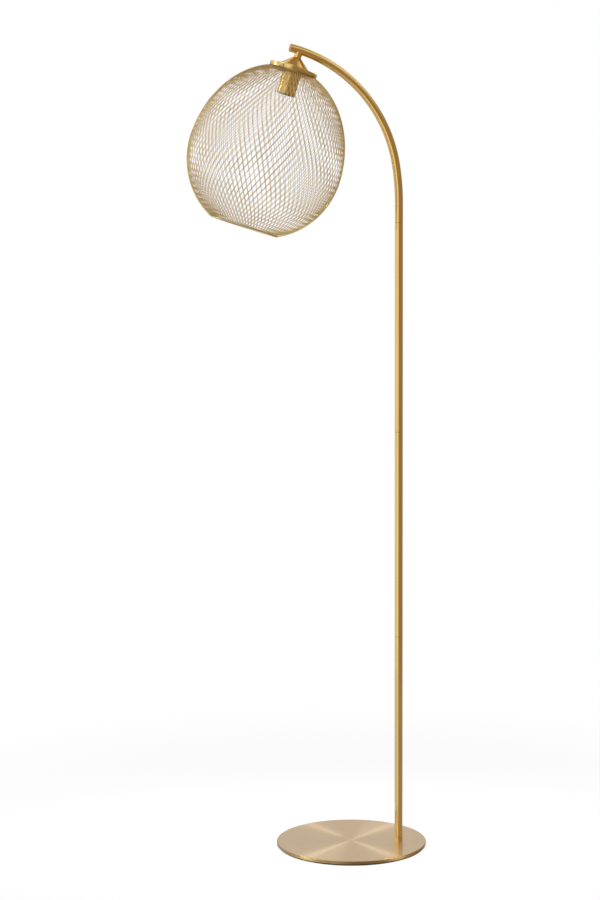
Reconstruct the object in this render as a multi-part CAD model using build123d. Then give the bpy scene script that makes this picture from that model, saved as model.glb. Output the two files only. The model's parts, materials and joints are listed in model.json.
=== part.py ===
from build123d import *
import math
import os

# Wire cage floor lamp, in millimetres, +Z up.
# The origin is on the floor under the centre of the round base. The pole stands at +X, and the arm
# bends over towards -X and carries a wire cage shade. Everything is symmetric about the XZ plane,
# apart from the turns of the cage's wires.

# ---- base ----
base_diameter = 300.0
plate_thickness = 6.0
plate_edge_radius = 0.8
pad_thickness = 3.0
pad_inset = 3.0
pad_pocket_diameter = 30.0
recess_diameter = 26.0
recess_depth = 2.2

# ---- pole and arm ----
pole_inset = 52.0
tube_diameter = 16.0
tube_wall = 1.2
tube_edge_chamfer = 0.3
section_length = 413.5
arm_straight = 38.7
first_bend_radius = 458.0
first_bend_turn = 9.3
main_bend_radius = 278.0
tip_turn = 76.5
plug_flange_thickness = 1.0
plug_spigot_length = 5.0

# ---- threaded fittings in the tubes ----
thread_diameter = 10.0
nipple_bore = 7.0
bush_length = 12.0
connector_length = 20.0
nut_across_flats = 14.0
nut_thickness = 2.6
washer_diameter = 20.0
washer_thickness = 1.0
nipple_above_plate = 11.0
nipple_end_below_nut = 0.4

# ---- cord outlet ----
grommet_height = 26.0
grommet_bore = 6.4
grommet_body_diameter = 9.0
grommet_flange_diameter = 12.0
grommet_flange_thickness = 1.5
grommet_reach = 4.0

# ---- head, measured down the neck's axis from the arm's centreline ----
neck_turn = 72.6
head_tilt = 18.4
boss_diameter = 15.0
boss_top_drop = 4.0
boss_bottom_drop = 15.0
neck_nipple_top_drop = 3.0
neck_nipple_bottom_drop = 46.0
canopy_top_diameter = 16.0
canopy_base_diameter = 58.0
canopy_skirt_drop = 32.5
canopy_bottom_drop = 35.3
canopy_wall = 1.0
cap_diameter = 94.6
cap_thickness = 1.5
cap_rim_height = 5.7
cap_wall = 1.5

# ---- screws that grip the cage's collar ----
grip_screw_count = 4
grip_screw_angle = 50.8
grip_screw_thread = 3.0
grip_screw_head_diameter = 6.0
grip_screw_head_height = 2.4
grip_screw_dome = 0.8

# ---- cage ----
cage_radius = 150.0
cage_upper_height = 185.0
cage_top_drop = 43.6
cage_top_radius = 45.0
cage_bottom_radius = 66.0
wire_side = 1.0
wire_count = 88
wire_twist_above = 34.5
wire_twist_below = 30.5
wire_first_angle = 3.0
wire_sections = 10
collar_thickness = 2.4
collar_below_wires = 2.0
hoop_width = 4.0
hoop_height = 3.0

# ---- lampholder ----
holder_diameter = 36.0
holder_wall = 0.8
holder_top_thickness = 1.2
holder_bottom_drop = 89.0
body_recess = 0.3
body_top_drop = 56.0
body_floor = 6.0
block_top_drop = 48.5
block_diameter = 30.0
block_wire_bore = 9.2
screw_shell_bore = 26.5
screw_shell_wall = 0.6
screw_shell_length = 18.0
screw_shell_ledge = 1.2
contact_to_shell = 0.8
contact_head_diameter = 9.0
contact_head_thickness = 1.2
contact_stand_off = 4.0
contact_stem_diameter = 4.0
contact_collar_diameter = 7.0
contact_collar_thickness = 1.0
contact_travel = 1.5
terminal_screw_diameter = 3.0
terminal_screw_head = 5.5
terminal_screw_depth = 6.0
terminal_screw_pitch = 16.0
terminal_flat_margin = 2.5
terminal_head_thickness = 1.8

# ---- clearances ----
fit_gap = 0.05
running_gap = 0.06
slip_gap = 0.1
swivel_gap = 0.1
weld_gap = 0.1

plate_bottom = pad_thickness
plate_top = plate_bottom + plate_thickness
base_radius = base_diameter / 2
pole_offset = base_radius - pole_inset
tube_radius = tube_diameter / 2
tube_bore_radius = tube_radius - tube_wall
thread_radius = thread_diameter / 2
bush_radius = tube_bore_radius - fit_gap
threaded_bore_radius = thread_radius + fit_gap
joint_heights = [plate_top + section_length * step for step in range(4)]
bend_start = joint_heights[3] + arm_straight

head_bore_radius = thread_radius + running_gap
canopy_top_drop = boss_bottom_drop + swivel_gap
cap_top_drop = canopy_bottom_drop
cap_under_drop = cap_top_drop + cap_thickness
cap_rim_drop = cap_top_drop + cap_rim_height
cap_inner_radius = cap_diameter / 2 - cap_wall
holder_top_drop = cap_under_drop
holder_ceiling_drop = holder_top_drop + holder_top_thickness
holder_inner_radius = holder_diameter / 2 - holder_wall
body_radius = holder_inner_radius - slip_gap
body_floor_drop = body_top_drop + body_floor
body_bottom_drop = holder_bottom_drop - body_recess
screw_shell_radius = screw_shell_bore / 2 + screw_shell_wall
body_bore_radius = screw_shell_radius + slip_gap
stem_bore_radius = contact_stem_diameter / 2 + running_gap
contact_drop = body_floor_drop + contact_stand_off
screw_shell_drop = contact_drop + contact_head_thickness + contact_to_shell

cage_top_height = cage_upper_height * math.sqrt(1 - (cage_top_radius / cage_radius) ** 2)
cage_bottom_angle = math.acos(cage_bottom_radius / cage_radius)
cage_bottom_height = -cage_radius * math.sin(cage_bottom_angle)
cage_lower_arc = cage_radius * cage_bottom_angle
equator_drop = cage_top_drop + cage_top_height
collar_radius = cap_inner_radius - slip_gap
collar_top_height = equator_drop - cap_under_drop - slip_gap


def disc(radius, bottom, top):
    """A solid cylinder about the Z axis between two heights."""
    return Pos(0, 0, (bottom + top) / 2) * Cylinder(radius, top - bottom)


def ring(radius, bore_radius, bottom, top):
    """A hollow cylinder about the Z axis between two heights."""
    return disc(radius, bottom, top) - disc(bore_radius, bottom - 1, top + 1)


def hex_nut(across_flats, bore_radius, bottom, top):
    """A hexagonal nut about the Z axis."""
    outline = RegularPolygon(across_flats / 2, 6, major_radius=False)
    body = Pos(0, 0, bottom) * extrude(outline, top - bottom)
    return body - disc(bore_radius, bottom - 1, top + 1)


def arm_point(turn):
    """The arm centreline's x and z where the tube has turned by this many degrees from upright."""
    angle = math.radians(turn)
    first = math.radians(min(turn, first_bend_turn))
    x = pole_offset - first_bend_radius * (1 - math.cos(first))
    z = bend_start + first_bend_radius * math.sin(first)
    if turn > first_bend_turn:
        x -= main_bend_radius * (math.cos(first) - math.cos(angle))
        z += main_bend_radius * (math.sin(angle) - math.sin(first))
    return x, z


def bend(radius, turn_from, turn_to, outer, bore):
    """A bent stretch of tube, swung about the centre of its bend."""
    x, z = arm_point(turn_from)
    angle = math.radians(turn_from)
    along = (-math.sin(angle), 0, math.cos(angle))
    section = Circle(outer)
    if bore:
        section -= Circle(bore)
    face = Plane(origin=(x, 0, z), x_dir=(0, 1, 0), z_dir=along) * section
    centre = (x - radius * math.cos(angle), 0, z - radius * math.sin(angle))
    return revolve(face, Axis(centre, (0, -1, 0)), turn_to - turn_from)


def arm_tube_solid(outer, bore):
    """The arm: a straight foot, a gentle bend and the main bend."""
    foot = disc(outer, joint_heights[3], bend_start)
    if bore:
        foot -= disc(bore, joint_heights[3] - 1, bend_start + 1)
    foot = Pos(pole_offset, 0, 0) * foot
    first = bend(first_bend_radius, 0, first_bend_turn, outer, bore)
    main = bend(main_bend_radius, first_bend_turn, tip_turn, outer, bore)
    return foot + first + main


neck_x, neck_z = arm_point(neck_turn)
head = Location((neck_x, 0, neck_z), (0, head_tilt, 0))


def in_head(shape):
    """Moves a shape from the head's frame, whose Z axis is the neck's axis, to the lamp's frame."""
    return head * shape


# ---- base pieces ----


def make_base_plate():
    plate = disc(base_radius, plate_bottom, plate_top)
    plate = fillet(plate.edges().group_by(Axis.Z)[-1], plate_edge_radius)
    recess = disc(recess_diameter / 2, plate_bottom - 1, plate_bottom + recess_depth)
    hole = disc(thread_radius + slip_gap, plate_bottom - 1, plate_top + 1)
    return plate - Pos(pole_offset, 0, 0) * (recess + hole)


def make_base_pad():
    pad = disc(base_radius - pad_inset, 0, pad_thickness)
    pocket = disc(pad_pocket_diameter / 2, -1, pad_thickness + 1)
    return pad - Pos(pole_offset, 0, 0) * pocket


washer_top = plate_bottom + recess_depth
nut_top = washer_top - washer_thickness
nut_bottom = nut_top - nut_thickness
base_nipple_bottom = nut_bottom - nipple_end_below_nut


def make_base_washer():
    return Pos(pole_offset, 0, 0) * ring(
        washer_diameter / 2, thread_radius + slip_gap, nut_top, washer_top
    )


def make_base_nut():
    nut = hex_nut(nut_across_flats, threaded_bore_radius, nut_bottom, nut_top)
    return Pos(pole_offset, 0, 0) * nut


def make_base_nipple():
    top = plate_top + nipple_above_plate
    return Pos(pole_offset, 0, 0) * ring(
        thread_radius, nipple_bore / 2, base_nipple_bottom, top
    )


# ---- pole pieces ----


def make_pole_tube(bottom, top):
    tube = ring(tube_radius, tube_bore_radius, bottom, top)
    rims = tube.edges().filter_by(GeomType.CIRCLE).filter_by(
        lambda edge: abs(edge.radius - tube_radius) < 1e-6
    )
    return Pos(pole_offset, 0, 0) * chamfer(rims, tube_edge_chamfer)


grommet_level = plate_top + grommet_height


def rear_rod(radius, near, far):
    """A cylinder along +Y at the grommet's height, between two distances from the pole's axis."""
    rod = Cylinder(radius, far - near, align=(Align.CENTER, Align.CENTER, Align.MIN))
    return Location((pole_offset, near, grommet_level), (-90, 0, 0)) * rod


def make_pole_lower():
    hole = rear_rod(grommet_body_diameter / 2 + fit_gap, 0, tube_radius + 5)
    return make_pole_tube(joint_heights[0], joint_heights[1]) - hole


def make_cord_grommet():
    flange_end = tube_radius + grommet_flange_thickness
    body = rear_rod(grommet_body_diameter / 2, grommet_reach, flange_end)
    flange = rear_rod(grommet_flange_diameter / 2, tube_radius, flange_end)
    bore = rear_rod(grommet_bore / 2, grommet_reach - 1, flange_end + 1)
    return body + flange - bore


def make_tube_bushes():
    """One threaded bush in each tube end that takes a nipple or a connector."""
    bottoms = [joint_heights[0]]
    for height in joint_heights[1:]:
        bottoms += [height - bush_length, height]
    bushes = []
    for bottom in bottoms:
        bush = ring(bush_radius, threaded_bore_radius, bottom, bottom + bush_length)
        bushes.append(Pos(pole_offset, 0, 0) * bush)
    return bushes


def make_connectors():
    """Hollow threaded connectors, half in the tube below and half in the tube above."""
    connectors = []
    for height in joint_heights[1:]:
        half = connector_length / 2
        piece = ring(thread_radius, nipple_bore / 2, height - half, height + half)
        connectors.append(Pos(pole_offset, 0, 0) * piece)
    return connectors


def make_arm_tube():
    arm = arm_tube_solid(tube_radius, tube_bore_radius)
    foot_rim = arm.edges().filter_by(GeomType.CIRCLE).filter_by(
        lambda edge: abs(edge.radius - tube_radius) < 1e-6
        and abs(edge.center().Z - joint_heights[3]) < 1e-6
    )
    arm = chamfer(foot_rim, tube_edge_chamfer)
    return arm - in_head(disc(thread_radius + slip_gap, -tube_diameter, 0))


def make_arm_end_plug():
    x, z = arm_point(tip_turn)
    angle = math.radians(tip_turn)
    along = (-math.sin(angle), 0, math.cos(angle))
    flange = disc(tube_radius, 0, plug_flange_thickness)
    flange = chamfer(flange.edges().group_by(Axis.Z)[-1], tube_edge_chamfer)
    spigot = disc(tube_bore_radius - slip_gap, -plug_spigot_length, 0)
    return Plane(origin=(x, 0, z), x_dir=(0, 1, 0), z_dir=along).location * (flange + spigot)


# ---- neck pieces ----


def make_neck_boss():
    boss = in_head(disc(boss_diameter / 2, -boss_bottom_drop, -boss_top_drop))
    boss -= arm_tube_solid(tube_radius, 0)
    return boss - in_head(disc(threaded_bore_radius, -boss_bottom_drop - 1, 0))


def make_neck_nipple():
    return in_head(
        ring(
            thread_radius,
            nipple_bore / 2,
            -neck_nipple_bottom_drop,
            -neck_nipple_top_drop,
        )
    )


neck_washer_drop = holder_ceiling_drop + swivel_gap
neck_nut_drop = neck_washer_drop + washer_thickness


def make_neck_washer():
    return in_head(
        ring(washer_diameter / 2, threaded_bore_radius, -neck_nut_drop, -neck_washer_drop)
    )


def make_neck_nut():
    bottom = -neck_nut_drop - nut_thickness
    return in_head(hex_nut(nut_across_flats, threaded_bore_radius, bottom, -neck_nut_drop))


# ---- head pieces ----


def make_canopy():
    """A spun cone with a short upright skirt, open below."""
    top = canopy_top_diameter / 2
    base = canopy_base_diameter / 2
    slope_drop = canopy_skirt_drop - canopy_top_drop
    outside = [
        (0, -canopy_top_drop),
        (top, -canopy_top_drop),
        (base, -canopy_skirt_drop),
        (base, -canopy_bottom_drop),
    ]
    inner_top_drop = canopy_top_drop + canopy_wall
    inner_top = top - canopy_wall * (base - top) / slope_drop / 2
    inner_base = base - canopy_wall
    inside = [
        (inner_base, -canopy_bottom_drop),
        (inner_base, -canopy_skirt_drop - canopy_wall / 2),
        (inner_top, -inner_top_drop),
        (0, -inner_top_drop),
    ]
    outline = Polyline(*outside, *inside, close=True)
    canopy = revolve(Plane.XZ * make_face(outline), Axis.Z)
    return in_head(canopy - disc(head_bore_radius, -canopy_bottom_drop, 0))


grip_screw_level = -(cap_under_drop + cap_rim_drop) / 2


def grip_rod(radius, near, far, angle):
    """A cylinder that points out from the neck's axis in the middle of the cap's rim."""
    rod = Cylinder(radius, far - near, align=(Align.CENTER, Align.CENTER, Align.MIN))
    level = Location((0, 0, grip_screw_level), (0, 0, angle))
    return level * Location((near, 0, 0), (0, 90, 0)) * rod


grip_screw_angles = [
    grip_screw_angle + 360 / grip_screw_count * step for step in range(grip_screw_count)
]


def make_shade_cap():
    cap = disc(cap_diameter / 2, -cap_rim_drop, -cap_top_drop)
    cap = fillet(cap.edges().group_by(Axis.Z)[-1], cap_wall / 2)
    cap -= disc(cap_inner_radius, -cap_rim_drop - 1, -cap_under_drop)
    cap -= disc(head_bore_radius, -cap_rim_drop, -cap_top_drop + 1)
    for angle in grip_screw_angles:
        hole_radius = grip_screw_thread / 2 + fit_gap
        cap -= grip_rod(hole_radius, collar_radius - 1, cap_diameter / 2 + 1, angle)
    return in_head(cap)


def make_grip_screws():
    """Domed screws through the cap's rim, whose tips bear on the cage's collar."""
    screws = []
    for angle in grip_screw_angles:
        seat = cap_diameter / 2 + fit_gap
        end = seat + grip_screw_head_height
        screw = grip_rod(grip_screw_thread / 2, collar_radius + fit_gap, seat, angle)
        knob = grip_rod(grip_screw_head_diameter / 2, seat, end, 0)
        knob = fillet(knob.edges().group_by(Axis.X)[-1], grip_screw_dome)
        screw += Location((0, 0, 0), (0, 0, angle)) * knob
        screws.append(in_head(screw))
    return screws


# ---- cage pieces, made about the centre of the cage's equator ----


def cage_place(reach, offset):
    """A point of the cage's surface, pushed out by offset.

    reach is the height above the equator, or below it minus the length along the sphere.
    Returns the radius, the height, the outward normal's two parts and the twist in degrees.
    """
    if reach >= 0:
        radius = cage_radius * math.sqrt(1 - (reach / cage_upper_height) ** 2)
        height = reach
        out = radius / cage_radius**2
        up = height / cage_upper_height**2
        twist = wire_twist_above * reach / cage_top_height
    else:
        radius = cage_radius * math.cos(reach / cage_radius)
        height = cage_radius * math.sin(reach / cage_radius)
        out = radius
        up = height
        twist = wire_twist_below * reach / cage_lower_arc
    size = math.hypot(out, up)
    out /= size
    up /= size
    return radius + offset * out, height + offset * up, out, up, twist


def wire_point(reach, lean, offset):
    """A point on a wire's centreline and the cage's outward normal there."""
    radius, height, out, up, twist = cage_place(reach, offset)
    angle = math.radians(lean * twist)
    point = Vector(radius * math.cos(angle), radius * math.sin(angle), height)
    normal = Vector(out * math.cos(angle), out * math.sin(angle), up)
    return point, normal


def make_wire(lean, offset, top_reach, bottom_reach):
    """One cage wire, lofted through sections that stand square to its path."""
    step = 0.05
    sections = []
    for index in range(wire_sections + 1):
        reach = top_reach + (bottom_reach - top_reach) * index / wire_sections
        point, normal = wire_point(reach, lean, offset)
        before, _ = wire_point(reach + step, lean, offset)
        after, _ = wire_point(reach - step, lean, offset)
        along = (after - before).normalized()
        sections.append(Plane(point, x_dir=normal, z_dir=along) * Rectangle(wire_side, wire_side))
    return loft(sections)


pitch = 360 / wire_count


def hoop_segment(inner, outer, bottom, top, middle_angle):
    """The stretch of a flat hoop that belongs to one wire."""
    section = Pos((inner + outer) / 2, (bottom + top) / 2) * Rectangle(outer - inner, top - bottom)
    segment = revolve(Plane.XZ * section, Axis.Z, pitch)
    return segment.rotate(Axis.Z, middle_angle - pitch / 2)


def is_cut_face(face, middle_angle):
    """Is this face where one wire's stretch of a hoop meets the next one's?"""
    for side in (-pitch / 2, pitch / 2):
        angle = math.radians(middle_angle + side)
        across = Vector(-math.sin(angle), math.cos(angle), 0)
        facing = abs(face.normal_at(face.center()).dot(across))
        if facing > 1 - 1e-6 and abs(face.center().dot(across)) < 1e-3:
            return True
    return False


inner_lean = 1
outer_lean = -1


def make_cage_inner():
    """The inner wires welded to the collar and the hoop.

    One wire with its stretch of both hoops repeats round the axis, and the outsides of all the
    repeats are joined into one closed skin.
    """
    top_angle = inner_lean * wire_twist_above
    bottom_angle = -inner_lean * wire_twist_below
    collar = hoop_segment(
        collar_radius - collar_thickness,
        collar_radius,
        cage_top_height - collar_below_wires,
        collar_top_height,
        top_angle,
    )
    hoop = hoop_segment(
        cage_bottom_radius - hoop_width / 2,
        cage_bottom_radius + hoop_width / 2,
        cage_bottom_height - hoop_height / 2,
        cage_bottom_height + hoop_height / 2,
        bottom_angle,
    )
    wire = make_wire(inner_lean, 0, cage_top_height, -cage_lower_arc)
    unit = collar.fuse(wire, hoop)
    skin = [
        face
        for face in unit.faces()
        if not is_cut_face(face, top_angle) and not is_cut_face(face, bottom_angle)
    ]
    faces = []
    for index in range(wire_count):
        faces += [face.rotate(Axis.Z, wire_first_angle + pitch * index) for face in skin]
    return Solid(Shell(faces))


def make_cage_outer_wires():
    """The outer wires, which lean the other way and end against the collar and the hoop."""
    offset = wire_side + fit_gap
    top_radius = collar_radius + wire_side / 2 + weld_gap
    bottom_radius = cage_bottom_radius + (hoop_width + wire_side) / 2 + weld_gap
    _, _, top_out, _, _ = cage_place(cage_top_height, 0)
    _, _, bottom_out, _, _ = cage_place(-cage_lower_arc, 0)
    top_share = (top_radius - offset * top_out) / cage_radius
    bottom_share = (bottom_radius - offset * bottom_out) / cage_radius
    top_reach = cage_upper_height * math.sqrt(1 - top_share**2)
    bottom_reach = -cage_radius * math.acos(bottom_share)
    wire = make_wire(outer_lean, offset, top_reach, bottom_reach)
    return [wire.rotate(Axis.Z, wire_first_angle + pitch * index) for index in range(wire_count)]


def in_cage(shape):
    """Moves a shape from the cage's frame to the lamp's frame."""
    return in_head(Pos(0, 0, -equator_drop) * shape)


# ---- lampholder pieces ----


def make_holder_cup():
    cup = disc(holder_diameter / 2, -holder_bottom_drop, -holder_top_drop)
    cup = fillet(cup.edges().group_by(Axis.Z)[-1], holder_top_thickness)
    cup -= disc(holder_inner_radius, -holder_bottom_drop - 1, -holder_ceiling_drop)
    return in_head(cup - disc(head_bore_radius, -holder_bottom_drop, 0))


def terminal_places():
    """The two terminal screws' places across the block."""
    return [Pos(0, side * terminal_screw_pitch / 2, 0) for side in (-1, 1)]


terminal_drop = (block_top_drop + body_top_drop) / 2
terminal_end = block_diameter / 2


def terminal_rod(radius, near, far):
    """A cylinder along +X at the terminal screws' height."""
    rod = Cylinder(radius, far - near, align=(Align.CENTER, Align.CENTER, Align.MIN))
    return Location((near, 0, -terminal_drop), (0, 90, 0)) * rod


terminal_face = math.sqrt(terminal_end**2 - (terminal_screw_pitch / 2 + terminal_screw_head / 2) ** 2)
terminal_face -= terminal_flat_margin


def make_terminal_block():
    block = disc(block_diameter / 2, -body_top_drop, -block_top_drop)
    flat = Pos(terminal_face + block_diameter / 2, 0, -terminal_drop) * Box(*[block_diameter] * 3)
    block -= flat
    block -= disc(block_wire_bore / 2, -body_top_drop - 1, -block_top_drop + 1)
    hole_radius = terminal_screw_diameter / 2 + fit_gap
    hole_end = terminal_face - terminal_screw_depth - fit_gap
    for place in terminal_places():
        block -= place * terminal_rod(hole_radius, hole_end, terminal_face + 1)
    return in_head(block)


def make_terminal_screws():
    screws = []
    for place in terminal_places():
        shank = terminal_rod(
            terminal_screw_diameter / 2, terminal_face - terminal_screw_depth, terminal_face
        )
        head_end = terminal_face + terminal_head_thickness
        screw_head = terminal_rod(terminal_screw_head / 2, terminal_face, head_end)
        screws.append(in_head(place * (shank + screw_head)))
    return screws


def make_holder_body():
    body = disc(body_radius, -body_bottom_drop, -body_top_drop)
    body -= disc(body_bore_radius, -body_bottom_drop - 1, -screw_shell_drop)
    body -= disc(screw_shell_radius - screw_shell_ledge, -screw_shell_drop - 1, -body_floor_drop)
    return in_head(body - disc(stem_bore_radius, -body_floor_drop - 1, 0))


def make_screw_shell():
    bottom = -screw_shell_drop - screw_shell_length
    return in_head(ring(screw_shell_radius, screw_shell_bore / 2, bottom, -screw_shell_drop))


def make_centre_contact():
    """A riveted plunger: its head meets the bulb, and its collar keeps it in the body's floor."""
    button = disc(contact_head_diameter / 2, -contact_drop - contact_head_thickness, -contact_drop)
    stem = disc(contact_stem_diameter / 2, -contact_drop, -body_top_drop + slip_gap)
    collar_bottom = -body_top_drop + slip_gap
    collar = disc(
        contact_collar_diameter / 2, collar_bottom, collar_bottom + contact_collar_thickness
    )
    return in_head(button + stem + collar)


def write(name, solids):
    """Writes one sub-part, a solid or a group of separate solids."""
    if isinstance(solids, list):
        shape = Compound(children=solids)
    else:
        shape = solids
    export_step(shape, os.path.join("parts", name + ".step"))


os.makedirs("parts", exist_ok=True)
write("base_plate", make_base_plate())
write("base_pad", make_base_pad())
write("base_washer", make_base_washer())
write("base_nut", make_base_nut())
write("base_nipple", make_base_nipple())
write("pole_lower", make_pole_lower())
write("pole_middle", make_pole_tube(joint_heights[1], joint_heights[2]))
write("pole_upper", make_pole_tube(joint_heights[2], joint_heights[3]))
write("cord_grommet", make_cord_grommet())
write("tube_bushes", make_tube_bushes())
write("tube_connectors", make_connectors())
write("arm_tube", make_arm_tube())
write("arm_end_plug", make_arm_end_plug())
write("neck_boss", make_neck_boss())
write("neck_nipple", make_neck_nipple())
write("neck_washer", make_neck_washer())
write("neck_nut", make_neck_nut())
write("canopy", make_canopy())
write("shade_cap", make_shade_cap())
write("grip_screws", make_grip_screws())
write("cage_inner", in_cage(make_cage_inner()))
write("cage_outer_wires", [in_cage(wire) for wire in make_cage_outer_wires()])
write("holder_cup", make_holder_cup())
write("terminal_block", make_terminal_block())
write("terminal_screws", make_terminal_screws())
write("holder_body", make_holder_body())
write("screw_shell", make_screw_shell())
write("centre_contact", make_centre_contact())
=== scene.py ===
import json
import math

import bpy
from mathutils import Matrix, Vector


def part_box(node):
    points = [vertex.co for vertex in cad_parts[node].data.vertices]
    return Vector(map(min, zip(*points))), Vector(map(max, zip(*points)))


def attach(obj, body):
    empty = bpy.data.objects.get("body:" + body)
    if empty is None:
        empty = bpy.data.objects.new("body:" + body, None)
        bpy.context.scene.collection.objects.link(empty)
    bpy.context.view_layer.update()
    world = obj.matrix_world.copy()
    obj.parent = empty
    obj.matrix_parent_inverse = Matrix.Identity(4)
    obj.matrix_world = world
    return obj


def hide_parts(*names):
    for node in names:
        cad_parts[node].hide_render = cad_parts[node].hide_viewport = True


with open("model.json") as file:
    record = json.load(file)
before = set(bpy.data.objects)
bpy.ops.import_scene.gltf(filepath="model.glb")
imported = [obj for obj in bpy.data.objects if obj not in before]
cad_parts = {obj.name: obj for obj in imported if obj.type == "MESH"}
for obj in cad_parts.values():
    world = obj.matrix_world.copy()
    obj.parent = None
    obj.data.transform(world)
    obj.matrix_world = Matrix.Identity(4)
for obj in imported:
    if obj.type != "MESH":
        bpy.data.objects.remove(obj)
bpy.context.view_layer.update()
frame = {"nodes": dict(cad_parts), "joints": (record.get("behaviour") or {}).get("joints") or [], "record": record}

# Wire cage floor lamp, in metres, +Z up. The base stands at the origin, the pole at +X, and the arm
# carries the cage over towards -X. The head's own frame has its origin where the neck's axis meets
# the arm's centreline, and its Z axis points up along the neck. Every drop below is measured down
# that axis from that origin.

MM = 0.001

# ---- cage, as the solids have it ----
cage_radius = 150 * MM
cage_upper_height = 185 * MM
cage_top_drop = 43.6 * MM
cage_top_radius = 45 * MM
cage_bottom_radius = 66 * MM
wire_count = 88
# Degrees that a wire turns from the equator to the cage's top, and to its mouth.
wire_twist_above = 34.5
wire_twist_below = 30.5
wire_first_angle = 3.0
collar_outer = 45.7 * MM
collar_inner = 43.3 * MM
collar_top_drop = 36.9 * MM
collar_below_wires = 2.0 * MM
hoop_width = 4.0 * MM
hoop_height = 3.0 * MM

# ---- cage, the mesh's own: round wires, rounded edges and how finely all is cut ----
wire_radius = 0.5 * MM
wire_rings = 64
wire_sides = 8
collar_edge = 0.4 * MM
hoop_edge = 1.2 * MM
edge_steps = 4
cage_ring_steps = 192

# ---- screw shell and grip screws, as the solids have them ----
shell_bore = 13.25 * MM
shell_outer = 13.85 * MM
shell_top_drop = 68.0 * MM
shell_length = 18.0 * MM
grip_screw_count = 4
grip_screw_first_angle = 50.8
grip_screw_seat = 47.35 * MM
grip_screw_drop = 38.9 * MM
grip_screw_radius = 3.0 * MM
grip_screw_height = 2.4 * MM
grip_shank_radius = 1.5 * MM
grip_shank_start = 45.75 * MM

# ---- screw shell, the mesh's own: a thin wall that follows the thread ----
shell_wall = 0.35 * MM
shell_steps = 96
shell_levels = 90
thread_pitch = 3.6 * MM
thread_depth = 0.75 * MM
# The share of the shell's length, at each end, over which the thread rises to its full depth.
thread_run_in = 0.125

# ---- grip screws, the mesh's own: a dome on a straight skirt, with a cross recess ----
grip_screw_skirt = 1.0 * MM
grip_screw_edge = 0.2 * MM
grip_screw_steps = 72
grip_screw_rings = 22
recess_arm = 1.7 * MM
recess_half_width = 0.42 * MM
recess_depth = 1.0 * MM
recess_side_slope = 0.15 * MM
recess_end_slope = 0.3 * MM
recess_floor_rise = 0.45

# ---- painted shade at the pole's joints: a dark ring whose outside lies below the tube's 8 mm, in the chamfers ----
painted_gap_shade_inner = 7.4 * MM
painted_gap_shade_outer = 7.9 * MM
painted_gap_shade_half_height = 0.28 * MM
painted_gap_shade_steps = 96

swivel = next(joint for joint in frame["joints"] if joint["name"] == "head_swivel")
neck = Vector(swivel["pos_m"])
up_axis = Vector(swivel["axis"]).normalized()
side_axis = Vector((0, 1, 0))
head_turn = Matrix((side_axis.cross(up_axis), side_axis, up_axis)).transposed().to_4x4()
head_frame = Matrix.Translation(neck) @ head_turn

cage_top_height = cage_upper_height * math.sqrt(1 - (cage_top_radius / cage_radius) ** 2)
cage_lower_arc = cage_radius * math.acos(cage_bottom_radius / cage_radius)
cage_bottom_height = -cage_radius * math.sin(cage_lower_arc / cage_radius)
equator_drop = cage_top_drop + cage_top_height


# ---- mesh helpers ----


def mesh_object(name, points, faces, place=head_frame, smooth=True):
    """A mesh object whose points are given in a local frame and stored in the lamp's frame."""
    mesh = bpy.data.meshes.new(name)
    mesh.from_pydata([place @ Vector(point) for point in points], [], faces)
    mesh.update()
    for polygon in mesh.polygons:
        polygon.use_smooth = smooth
    made = bpy.data.objects.new(name, mesh)
    bpy.context.scene.collection.objects.link(made)
    return made


def ring_faces(first, count, rings, closed_path):
    """Quads between rings of count points each, with the first point at index first."""
    faces = []
    last = rings if closed_path else rings - 1
    for ring in range(last):
        here = first + ring * count
        there = first + ((ring + 1) % rings) * count
        for side in range(count):
            after = (side + 1) % count
            faces.append((here + side, here + after, there + after, there + side))
    return faces


def turned(name, outline, steps, place=head_frame):
    """A solid of revolution: a closed outline of (radius, height) swung about the local Z axis."""
    points = []
    for step in range(steps):
        angle = 2 * math.pi * step / steps
        for radius, height in outline:
            points.append((radius * math.cos(angle), radius * math.sin(angle), height))
    faces = ring_faces(0, len(outline), steps, True)
    return mesh_object(name, points, faces, place)


def rounded_box_outline(inner, outer, bottom, top, edge):
    """A rectangle's outline in (radius, height) with its corners rounded."""
    corners = [
        (outer - edge, top - edge, 0),
        (inner + edge, top - edge, 90),
        (inner + edge, bottom + edge, 180),
        (outer - edge, bottom + edge, 270),
    ]
    outline = []
    for radius, height, start in corners:
        for step in range(edge_steps + 1):
            angle = math.radians(start + 90 * step / edge_steps)
            outline.append((radius + edge * math.cos(angle), height + edge * math.sin(angle)))
    return outline


# ---- cage ----


def cage_place(reach, offset):
    """Radius, height, outward normal and twist in degrees on the cage, pushed out by offset.

    The reach is the height above the equator or, below it, minus the length of the arc.
    """
    if reach >= 0:
        radius = cage_radius * math.sqrt(1 - (reach / cage_upper_height) ** 2)
        height = reach
        out = radius / cage_radius**2
        up = height / cage_upper_height**2
        twist = wire_twist_above * reach / cage_top_height
    else:
        radius = cage_radius * math.cos(reach / cage_radius)
        height = cage_radius * math.sin(reach / cage_radius)
        out = radius
        up = height
        twist = wire_twist_below * reach / cage_lower_arc
    size = math.hypot(out, up)
    return radius + offset * out / size, height + offset * up / size, out / size, up / size, twist


def wire_path(lean, offset, top_reach, bottom_reach, first_angle):
    """Centre points and outward normals along one wire, in the head's frame."""
    path = []
    for ring in range(wire_rings + 1):
        reach = top_reach + (bottom_reach - top_reach) * ring / wire_rings
        radius, height, out, up, twist = cage_place(reach, offset)
        angle = math.radians(first_angle + lean * twist)
        point = Vector((radius * math.cos(angle), radius * math.sin(angle), height - equator_drop))
        normal = Vector((out * math.cos(angle), out * math.sin(angle), up))
        path.append((point, normal))
    return path


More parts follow.
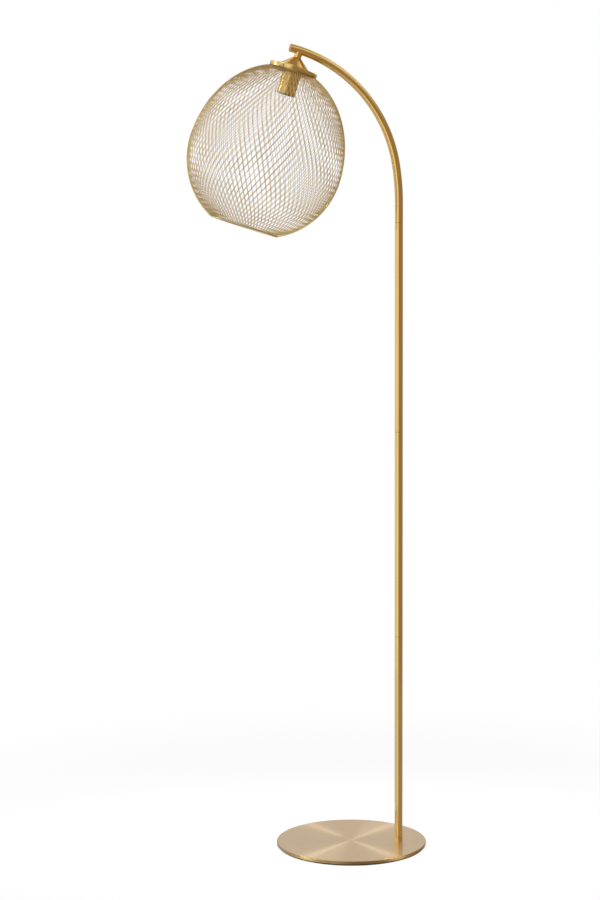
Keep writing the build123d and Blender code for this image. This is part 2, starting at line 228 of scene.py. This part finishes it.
def add_wire(points, faces, path):
    """A round wire along a path, with flat ends."""
    first = len(points)
    last = len(path) - 1
    for index, (point, normal) in enumerate(path):
        ahead = path[min(index + 1, last)][0] - path[max(index - 1, 0)][0]
        along = ahead.normalized()
        across = along.cross(normal).normalized()
        outward = across.cross(along)
        for side in range(wire_sides):
            angle = 2 * math.pi * side / wire_sides
            shift = across * math.cos(angle) + outward * math.sin(angle)
            points.append(point + shift * wire_radius)
    faces += ring_faces(first, wire_sides, last + 1, False)
    faces.append(tuple(first + side for side in reversed(range(wire_sides))))
    end = first + last * wire_sides
    faces.append(tuple(end + side for side in range(wire_sides)))


def make_wires(name, lean, offset, top_reach, bottom_reach):
    """One layer of the cage: all the wires that lean one way."""
    points = []
    faces = []
    for index in range(wire_count):
        first_angle = wire_first_angle + 360 / wire_count * index
        add_wire(points, faces, wire_path(lean, offset, top_reach, bottom_reach, first_angle))
    return mesh_object(name, points, faces)


def outer_reaches(offset):
    """How far the outer wires run: to the outside of the collar and of the hoop."""
    _, _, top_out, _, _ = cage_place(cage_top_height, 0)
    _, _, bottom_out, _, _ = cage_place(-cage_lower_arc, 0)
    top_radius = collar_outer + wire_radius
    bottom_radius = cage_bottom_radius + hoop_width / 2 + wire_radius
    top_share = (top_radius - offset * top_out) / cage_radius
    bottom_share = (bottom_radius - offset * bottom_out) / cage_radius
    return cage_upper_height * math.sqrt(1 - top_share**2), -cage_radius * math.acos(bottom_share)


def make_cage():
    """Both layers of wires, the collar at the top and the hoop round the mouth."""
    inner = make_wires("cage_wires_inner", 1, 0, cage_top_height, -cage_lower_arc)
    outer_offset = 2 * wire_radius
    top_reach, bottom_reach = outer_reaches(outer_offset)
    outer = make_wires("cage_wires_outer", -1, outer_offset, top_reach, bottom_reach)
    collar_bottom = cage_top_height - collar_below_wires - equator_drop
    collar_outline = rounded_box_outline(
        collar_inner, collar_outer, collar_bottom, -collar_top_drop, collar_edge
    )
    collar = turned("cage_collar", collar_outline, cage_ring_steps)
    hoop_middle = cage_bottom_height - equator_drop
    hoop_outline = rounded_box_outline(
        cage_bottom_radius - hoop_width / 2,
        cage_bottom_radius + hoop_width / 2,
        hoop_middle - hoop_height / 2,
        hoop_middle + hoop_height / 2,
        hoop_edge,
    )
    hoop = turned("cage_hoop", hoop_outline, cage_ring_steps)
    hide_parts("cage_outer_wires")
    for piece in (inner, collar, hoop):
        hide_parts("cage_inner")
    return [inner, outer, collar, hoop]


# ---- lampholder's threaded shell ----


def make_screw_shell():
    """A rolled sheet-metal shell whose wall follows a round thread, which fades out at both ends."""
    middle = (shell_bore + shell_outer) / 2 - thread_depth / 2
    points = []
    for side, shift in ((0, shell_wall / 2), (1, -shell_wall / 2)):
        for level in range(shell_levels + 1):
            share = level / shell_levels if side == 0 else 1 - level / shell_levels
            height = -shell_top_drop - shell_length * share
            fade = min(1, share / thread_run_in, (1 - share) / thread_run_in)
            for step in range(shell_steps):
                angle = 2 * math.pi * step / shell_steps
                phase = 2 * math.pi * height / thread_pitch + angle
                radius = middle + shift + fade * thread_depth / 2 * math.cos(phase)
                points.append((radius * math.cos(angle), radius * math.sin(angle), height))
    faces = ring_faces(0, shell_steps, 2 * (shell_levels + 1), True)
    shell = mesh_object("screw_shell_thread", points, faces)
    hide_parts("screw_shell")
    return shell


# ---- screws in the cap's rim ----


def cross_depth(x, y):
    """How deep the cross recess is at a point of the screw's head."""
    along = max(abs(x), abs(y))
    across = min(abs(x), abs(y))
    wide = 1 - min(1, max(0, (across - recess_half_width) / recess_side_slope))
    long = 1 - min(1, max(0, (along - recess_arm) / recess_end_slope))
    return recess_depth * wide * long * (1 - recess_floor_rise * along / recess_arm)


def grip_screw_profile():
    """The screw's outline in (radius, height), from its shank to just short of the dome's middle."""
    profile = [
        (grip_shank_radius, grip_shank_start - grip_screw_seat),
        (grip_shank_radius, 0),
        (grip_screw_radius - grip_screw_edge, 0),
        (grip_screw_radius, grip_screw_edge),
        (grip_screw_radius, grip_screw_skirt),
    ]
    for ring in range(1, grip_screw_rings):
        share = ring / grip_screw_rings
        dome = math.sqrt(1 - (1 - share) ** 2)
        height = grip_screw_skirt + (grip_screw_height - grip_screw_skirt) * dome
        profile.append((grip_screw_radius * (1 - share), height))
    return profile


def make_grip_screw(angle):
    """A domed screw with a cross recess, pointing out of the cap's rim."""
    turn = Matrix.Rotation(math.radians(angle), 4, "Z")
    face_out = Matrix.Rotation(math.radians(90), 4, "Y")
    place = head_frame @ turn @ Matrix.Translation((grip_screw_seat, 0, -grip_screw_drop)) @ face_out
    steps = grip_screw_steps
    profile = grip_screw_profile()
    points = []
    for radius, height in profile:
        for step in range(steps):
            around = 2 * math.pi * step / steps
            x = radius * math.cos(around)
            y = radius * math.sin(around)
            dip = cross_depth(x, y) if height > grip_screw_skirt else 0
            points.append((x, y, height - dip))
    faces = ring_faces(0, steps, len(profile), False)
    centre = len(points)
    points.append((0, 0, grip_screw_height - recess_depth))
    last = centre - steps
    faces += [(last + step, last + (step + 1) % steps, centre) for step in range(steps)]
    faces.append(tuple(reversed(range(steps))))
    screw = mesh_object(f"grip_screw_{round(angle)}", points, faces, place)
    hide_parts("grip_screws")
    return screw


# ---- painted shade in the gaps between the pole's tubes ----


def make_painted_gap_shade(node):
    """A thin dark ring in the groove at the top of a tube, between its chamfer and the next one's: painted shade
    in the gap.
    """
    low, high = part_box(node)
    place = Matrix.Translation(((low[0] + high[0]) / 2, (low[1] + high[1]) / 2, high[2]))
    outline = [
        (painted_gap_shade_outer, painted_gap_shade_half_height),
        (painted_gap_shade_inner, painted_gap_shade_half_height),
        (painted_gap_shade_inner, -painted_gap_shade_half_height),
        (painted_gap_shade_outer, -painted_gap_shade_half_height),
    ]
    return turned(f"{node}_painted_gap_shade", outline, painted_gap_shade_steps, place)


# ---- node trees ----

# Sockets of a Mix node that mixes colours. Their names stand for several sockets each.
mix_share_socket = 0
mix_first_socket = 6
mix_second_socket = 7
mix_result_socket = 2


class Nodes:
    """A node tree, with a short way to add and join nodes."""

    def __init__(self, tree):
        self.tree = tree

    def add(self, kind, **settings):
        node = self.tree.nodes.new(kind)
        for key, value in settings.items():
            setattr(node, key, value)
        return node

    def feed(self, target, value):
        """Joins an output to an input, or sets the input. A colour comes without its alpha."""
        if isinstance(value, bpy.types.NodeSocket):
            self.tree.links.new(value, target)
        elif target.type == "RGBA":
            target.default_value = (*value, 1)
        else:
            target.default_value = value

    def coordinates(self, kind):
        return self.add("ShaderNodeTexCoord").outputs[kind]

    def split(self, vector):
        """The x, y and z of a vector."""
        node = self.add("ShaderNodeSeparateXYZ")
        self.feed(node.inputs[0], vector)
        return node.outputs[0], node.outputs[1], node.outputs[2]

    def math(self, operation, *values):
        node = self.add("ShaderNodeMath", operation=operation)
        for index, value in enumerate(values):
            self.feed(node.inputs[index], value)
        return node.outputs[0]

    def blend(self, first, second, first_share):
        """The weighted mean of two values."""
        first_part = self.math("MULTIPLY", first, first_share)
        second_part = self.math("MULTIPLY", second, 1 - first_share)
        return self.math("ADD", first_part, second_part)

    def noise(self, vector, scale, detail):
        node = self.add("ShaderNodeTexNoise")
        self.feed(node.inputs["Scale"], scale)
        self.feed(node.inputs["Detail"], detail)
        self.feed(node.inputs["Vector"], vector)
        return node.outputs["Fac"]

    def map_range(self, value, source=(0, 1), target=(0, 1), interpolation="LINEAR"):
        """Maps the range source to the range target."""
        node = self.add("ShaderNodeMapRange", interpolation_type=interpolation)
        sockets = ("From Min", "From Max", "To Min", "To Max")
        for socket, number in zip(sockets, (*source, *target)):
            self.feed(node.inputs[socket], number)
        self.feed(node.inputs["Value"], value)
        return node.outputs["Result"]

    def mix_colours(self, share, first, second):
        node = self.add("ShaderNodeMix", data_type="RGBA")
        self.feed(node.inputs[mix_share_socket], share)
        self.feed(node.inputs[mix_first_socket], first)
        self.feed(node.inputs[mix_second_socket], second)
        return node.outputs[mix_result_socket]

    def mix_shaders(self, share, first, second):
        node = self.add("ShaderNodeMixShader")
        for index, value in enumerate((share, first, second)):
            self.feed(node.inputs[index], value)
        return node.outputs[0]

    def bump(self, height, strength, distance):
        node = self.add("ShaderNodeBump")
        self.feed(node.inputs["Strength"], strength)
        self.feed(node.inputs["Distance"], distance)
        self.feed(node.inputs["Height"], height)
        return node.outputs["Normal"]

    def stretched(self, stretch=(1, 1, 1)):
        """Object coordinates scaled by x, y and z, for grain that runs one way."""
        mapping = self.add("ShaderNodeMapping")
        self.feed(mapping.inputs["Scale"], stretch)
        self.feed(mapping.inputs["Vector"], self.coordinates("Object"))
        return mapping.outputs["Vector"]


def new_material(name, **settings):
    """A material, its nodes and its shader, with settings for the shader's sockets.

    An underscore in a setting's name stands for a space in the socket's.
    """
    material = bpy.data.materials.new(name)
    material.use_nodes = True
    nodes = Nodes(material.node_tree)
    shader = material.node_tree.nodes["Principled BSDF"]
    for key, value in settings.items():
        nodes.feed(shader.inputs[key.replace("_", " ")], value)
    return material, nodes, shader


# ---- materials ----

metal_detail = 4
metal_drift_scale = 9.0
metal_drift_detail = 2
metal_grain_share = 0.35
metal_bump_distance = 0.04 * MM

# Noise cells per metre across the grooves, and half of those that a groove crosses on its way round.
groove_scale = 2200.0
groove_wander = 1.5
groove_detail = 3
groove_share = 0.5
groove_bump = 0.03
groove_bump_distance = 0.03 * MM
turned_drift_scale = 14.0
turned_drift_detail = 2
turned_light = (0.93, 0.71, 0.46)
turned_dark = (0.77, 0.555, 0.34)
turned_roughness = (0.22, 0.27)
# A face belongs to the disc's flat top if its normal's z is above this. The rest looks like its rim.
flat_top_above = 0.995
rim_colour = (0.46, 0.31, 0.12)
rim_extra_roughness = 0.35

moulded_detail = 4
moulded_roughness_spread = 0.08
moulded_bump_distance = 0.1 * MM


def metal(name, light, dark, roughness, grain_scale, bump, stretch=(1, 1, 1)):
    """A metal with fine grain, slight colour drift and a bump that follows the grain."""
    material, nodes, shader = new_material(name, Metallic=1.0)
    fine = nodes.noise(nodes.stretched(stretch), grain_scale, metal_detail)
    broad = nodes.noise(nodes.stretched(), metal_drift_scale, metal_drift_detail)
    blend = nodes.blend(fine, broad, metal_grain_share)
    nodes.feed(shader.inputs["Base Color"], nodes.mix_colours(blend, dark, light))
    nodes.feed(shader.inputs["Roughness"], nodes.map_range(fine, target=roughness))
    nodes.feed(shader.inputs["Normal"], nodes.bump(fine, bump, metal_bump_distance))
    return material


def turned_grooves(nodes):
    """Noise drawn out into fine circles about the base's centre."""
    x, y, z = nodes.split(nodes.coordinates("Object"))
    squares = [nodes.math("MULTIPLY", value, value) for value in (x, y)]
    radius = nodes.math("SQRT", nodes.math("ADD", *squares))
    angle = nodes.math("ARCTAN2", y, x)
    join = nodes.add("ShaderNodeCombineXYZ")
    nodes.feed(join.inputs[0], nodes.math("MULTIPLY", radius, groove_scale))
    nodes.feed(join.inputs[1], nodes.math("MULTIPLY", z, groove_scale))
    nodes.feed(join.inputs[2], nodes.math("MULTIPLY", nodes.math("COSINE", angle), groove_wander))
    return nodes.noise(join.outputs[0], scale=1.0, detail=groove_detail)


def make_turned_brass():
    """Lacquered satin brass, turned in fine circles about the base's centre, with a duller rim."""
    material, nodes, shader = new_material(
        "turned_brass",
        Metallic=1.0,
        Anisotropic=0.95,
        Anisotropic_Rotation=0.25,
        Coat_Weight=0.8,
        Coat_Roughness=0.02,
    )
    grooves = turned_grooves(nodes)
    broad = nodes.noise(nodes.stretched(), turned_drift_scale, turned_drift_detail)
    blend = nodes.blend(grooves, broad, groove_share)
    top = nodes.mix_colours(blend, turned_dark, turned_light)
    _, _, up = nodes.split(nodes.coordinates("Normal"))
    flat = nodes.math("GREATER_THAN", up, flat_top_above)
    nodes.feed(shader.inputs["Base Color"], nodes.mix_colours(flat, rim_colour, top))
    smooth = nodes.map_range(grooves, target=turned_roughness)
    dull = nodes.math("MULTIPLY", nodes.math("SUBTRACT", 1.0, flat), rim_extra_roughness)
    nodes.feed(shader.inputs["Roughness"], nodes.math("ADD", smooth, dull))
    tangent = nodes.add("ShaderNodeTangent", direction_type="RADIAL", axis="Z")
    nodes.feed(shader.inputs["Tangent"], tangent.outputs[0])
    nodes.feed(shader.inputs["Normal"], nodes.bump(grooves, groove_bump, groove_bump_distance))
    return material


def moulded(name, light, dark, roughness, grain_scale, bump):
    """A matt moulded surface with a fine grain."""
    material, nodes, shader = new_material(name)
    grain = nodes.noise(nodes.stretched(), grain_scale, moulded_detail)
    nodes.feed(shader.inputs["Base Color"], nodes.mix_colours(grain, dark, light))
    limits = (roughness - moulded_roughness_spread, roughness + moulded_roughness_spread)
    nodes.feed(shader.inputs["Roughness"], nodes.map_range(grain, target=limits))
    nodes.feed(shader.inputs["Normal"], nodes.bump(grain, bump, moulded_bump_distance))
    return material


materials = {
    "turned_brass": make_turned_brass(),
    "brass": metal(
        "brass",
        light=(0.83, 0.60, 0.25),
        dark=(0.70, 0.47, 0.16),
        roughness=(0.11, 0.17),
        grain_scale=1500.0,
        bump=0.01,
        stretch=(1, 1, 0.02),
    ),
    "wire_brass": metal(
        "wire_brass",
        light=(0.75, 0.60, 0.34),
        dark=(0.55, 0.42, 0.19),
        roughness=(0.34, 0.44),
        grain_scale=400.0,
        bump=0.02,
    ),
    "zinc_steel": metal(
        "zinc_steel",
        light=(0.66, 0.67, 0.66),
        dark=(0.52, 0.53, 0.53),
        roughness=(0.30, 0.45),
        grain_scale=700.0,
        bump=0.15,
    ),
    "nickel": metal(
        "nickel",
        light=(0.74, 0.72, 0.66),
        dark=(0.60, 0.58, 0.52),
        roughness=(0.18, 0.30),
        grain_scale=800.0,
        bump=0.10,
    ),
    "black_plastic": moulded(
        "black_plastic",
        light=(0.030, 0.029, 0.027),
        dark=(0.012, 0.012, 0.012),
        roughness=0.45,
        grain_scale=2500.0,
        bump=0.15,
    ),
    "pad": moulded(
        "pad",
        light=(0.020, 0.015, 0.009),
        dark=(0.008, 0.006, 0.004),
        roughness=0.80,
        grain_scale=1800.0,
        bump=0.4,
    ),
}


def dress(piece, slot):
    """Gives a piece the material kept under a slot's name."""
    piece.data.materials.clear()
    piece.data.materials.append(materials[slot])


# ---- the lamp ----

for piece in make_cage():
    dress(piece, "wire_brass")
    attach(piece, "head")

shell = make_screw_shell()
dress(shell, "nickel")
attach(shell, "head")

for index in range(grip_screw_count):
    screw = make_grip_screw(grip_screw_first_angle + 360 / grip_screw_count * index)
    dress(screw, "brass")
    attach(screw, "head")

for node_name in ("pole_lower", "pole_middle", "pole_upper"):
    # Each black ring paints the shade that falls in the gap between two tubes.
    ring = make_painted_gap_shade(node_name)
    dress(ring, "black_plastic")
    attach(ring, "stand")

for entry in frame["record"]["subparts"]:
    node = frame["nodes"][entry["node"]]
    node.data.materials.clear()
    node.data.materials.append(materials[entry["material_slot"]])


# ---- stage, light and camera ----

white = (1, 1, 1)
floor_radius = 1.5
floor_steps = 96
floor_grey = (0.9, 0.9, 0.9)
floor_roughness = 0.9
floor_fade = (0.2, 0.9 * floor_radius)
floor_whiteness = (0.8, 1)
floor_clear = 0.7

# The room that metal reflects. Diffuse light comes from an even white of diffuse_strength instead.
dim = (0.38, 0.29, 0.18)
half_lit = (0.80, 0.77, 0.71)
back = (0.58, 0.54, 0.47)
lit = (1.0, 0.98, 0.95)
bright = (1.2, 1.18, 1.12)
diffuse_strength = 0.55
# Angles run from the back (0) by the right (+) and the left (-) to the front. In both tables the end
# tones hold on beyond the ends.
room_around = [
    (-2.95, dim),
    (-2.55, bright),
    (-2.1, lit),
    (-0.7, lit),
    (-0.2, back),
    (0.5, back),
    (0.9, dim),
]
# Heights run from straight down (-1) to straight up (1).
room_above = [
    (0.55, half_lit),
    (0.72, lit),
    (0.9, dim),
]
# The first table gives way to the second between these heights.
room_change = (0.25, 0.6)
# Where a ramp's new stops start, before they are set to their places.
new_stop_place = 0.5

base_centre = (0, 0, 0)
near_head = (-0.13, 0, 1.5)
# Name, place, target, width, height, watts and the beam's spread in degrees.
lamps = [
    ("left_lamp", (-3.09, 0.63, 3.21), base_centre, 0.25, 1.0, 2.3, 20),
    ("right_lamp", (3.09, -0.63, 3.21), base_centre, 0.25, 1.0, 1.9, 20),
    ("top_lamp", (-1.52, 0.31, 4.2), base_centre, 0.9, 1.4, 0.6, 16),
    ("head_lamp", (-3.6, 1.6, 2.4), near_head, 0.5, 1.1, 0.6, 20),
]

camera_place = (-1.0746, -4.7807, 1.4443)
camera_pitch = 7.46
camera_yaw = -11.5
camera_roll = -0.26
camera_lens = 100.0
camera_sensor = 36.0
camera_clip_end = 100.0


def make_floor():
    """A pale round floor with a soft shadow, white at its edge and partly clear to reflections."""
    material, nodes, shader = new_material(
        "floor", Base_Color=floor_grey, Roughness=floor_roughness, Specular_IOR_Level=0.0
    )
    glow = nodes.add("ShaderNodeEmission")
    nodes.feed(glow.inputs["Color"], white)
    distance = nodes.add("ShaderNodeVectorMath", operation="LENGTH")
    nodes.feed(distance.inputs[0], nodes.coordinates("Object"))
    fade = nodes.map_range(distance.outputs["Value"], floor_fade, floor_whiteness, "SMOOTHSTEP")
    rays = nodes.add("ShaderNodeLightPath").outputs
    seen = nodes.math("MULTIPLY", rays["Is Camera Ray"], fade)
    surface = nodes.mix_shaders(seen, shader.outputs[0], glow.outputs[0])
    gone = nodes.math("MULTIPLY", rays["Is Glossy Ray"], floor_clear)
    clear = nodes.add("ShaderNodeBsdfTransparent").outputs[0]
    output = next(node for node in nodes.tree.nodes if node.type == "OUTPUT_MATERIAL")
    nodes.feed(output.inputs["Surface"], nodes.mix_shaders(gone, surface, clear))
    corners = []
    for step in range(floor_steps):
        angle = 2 * math.pi * step / floor_steps
        corners.append((floor_radius * math.cos(angle), floor_radius * math.sin(angle), 0))
    floor = mesh_object("floor", corners, [tuple(range(floor_steps))], Matrix.Identity(4), False)
    floor.data.materials.append(material)


def tone_ramp(nodes, value, low, high, stops):
    """The colour of a table of stops at a value that runs from low to high."""
    node = nodes.add("ShaderNodeValToRGB")
    node.color_ramp.interpolation = "EASE"
    elements = node.color_ramp.elements
    while len(elements) < len(stops):
        elements.new(new_stop_place)
    for element, (position, colour) in zip(elements, stops):
        element.position = (position - low) / (high - low)
        element.color = (*colour, 1)
    nodes.feed(node.inputs["Fac"], nodes.map_range(value, (low, high)))
    return node.outputs["Color"]


def background(nodes, colour, strength=1.0):
    """The room's light in one colour, or in the colour that a socket gives."""
    node = nodes.add("ShaderNodeBackground")
    nodes.feed(node.inputs["Color"], colour)
    nodes.feed(node.inputs["Strength"], strength)
    return node.outputs[0]


def make_world():
    """A white room for the camera, with dim and bright sides for reflections."""
    world = bpy.data.worlds.new("studio")
    world.use_nodes = True
    bpy.context.scene.world = world
    nodes = Nodes(world.node_tree)
    nodes.tree.nodes.clear()
    rays = nodes.add("ShaderNodeLightPath").outputs
    x, y, height = nodes.split(nodes.coordinates("Generated"))
    around = tone_ramp(nodes, nodes.math("ARCTAN2", x, y), -math.pi, math.pi, room_around)
    above = tone_ramp(nodes, height, -1.0, 1.0, room_above)
    lift = nodes.map_range(height, room_change, interpolation="SMOOTHSTEP")
    reflected = background(nodes, nodes.mix_colours(lift, around, above))
    diffuse = background(nodes, white, diffuse_strength)
    unseen = nodes.mix_shaders(rays["Is Glossy Ray"], diffuse, reflected)
    seen = nodes.mix_shaders(rays["Is Camera Ray"], unseen, background(nodes, white))
    output = nodes.add("ShaderNodeOutputWorld")
    nodes.feed(output.inputs["Surface"], seen)


def make_lamp(name, place, target, width, height, power, spread):
    """A rectangular lamp with a narrow beam, aimed at a point. Its light is direct only."""
    light = bpy.data.lights.new(name, "AREA")
    light.shape = "RECTANGLE"
    light.size = width
    light.size_y = height
    light.energy = power
    light.spread = math.radians(spread)
    light.cycles.max_bounces = 0
    lamp = bpy.data.objects.new(name, light)
    lamp.location = place
    lamp.rotation_euler = (Vector(target) - Vector(place)).to_track_quat("-Z", "Y").to_euler()
    bpy.context.scene.collection.objects.link(lamp)


def make_camera():
    """The camera that was fitted to the photo's outlines."""
    camera = bpy.data.cameras.new("camera")
    camera.lens = camera_lens
    camera.sensor_width = camera_sensor
    camera.clip_end = camera_clip_end
    holder = bpy.data.objects.new("camera", camera)
    holder.location = camera_place
    aim = Matrix.Rotation(math.radians(camera_yaw), 4, "Z")
    aim = aim @ Matrix.Rotation(math.radians(90 - camera_pitch), 4, "X")
    aim = aim @ Matrix.Rotation(math.radians(camera_roll), 4, "Z")
    holder.rotation_euler = aim.to_euler()
    bpy.context.scene.collection.objects.link(holder)
    bpy.context.scene.camera = holder


make_floor()
make_world()
for lamp in lamps:
    make_lamp(*lamp)
make_camera()
bpy.context.scene.view_settings.view_transform = "Standard"
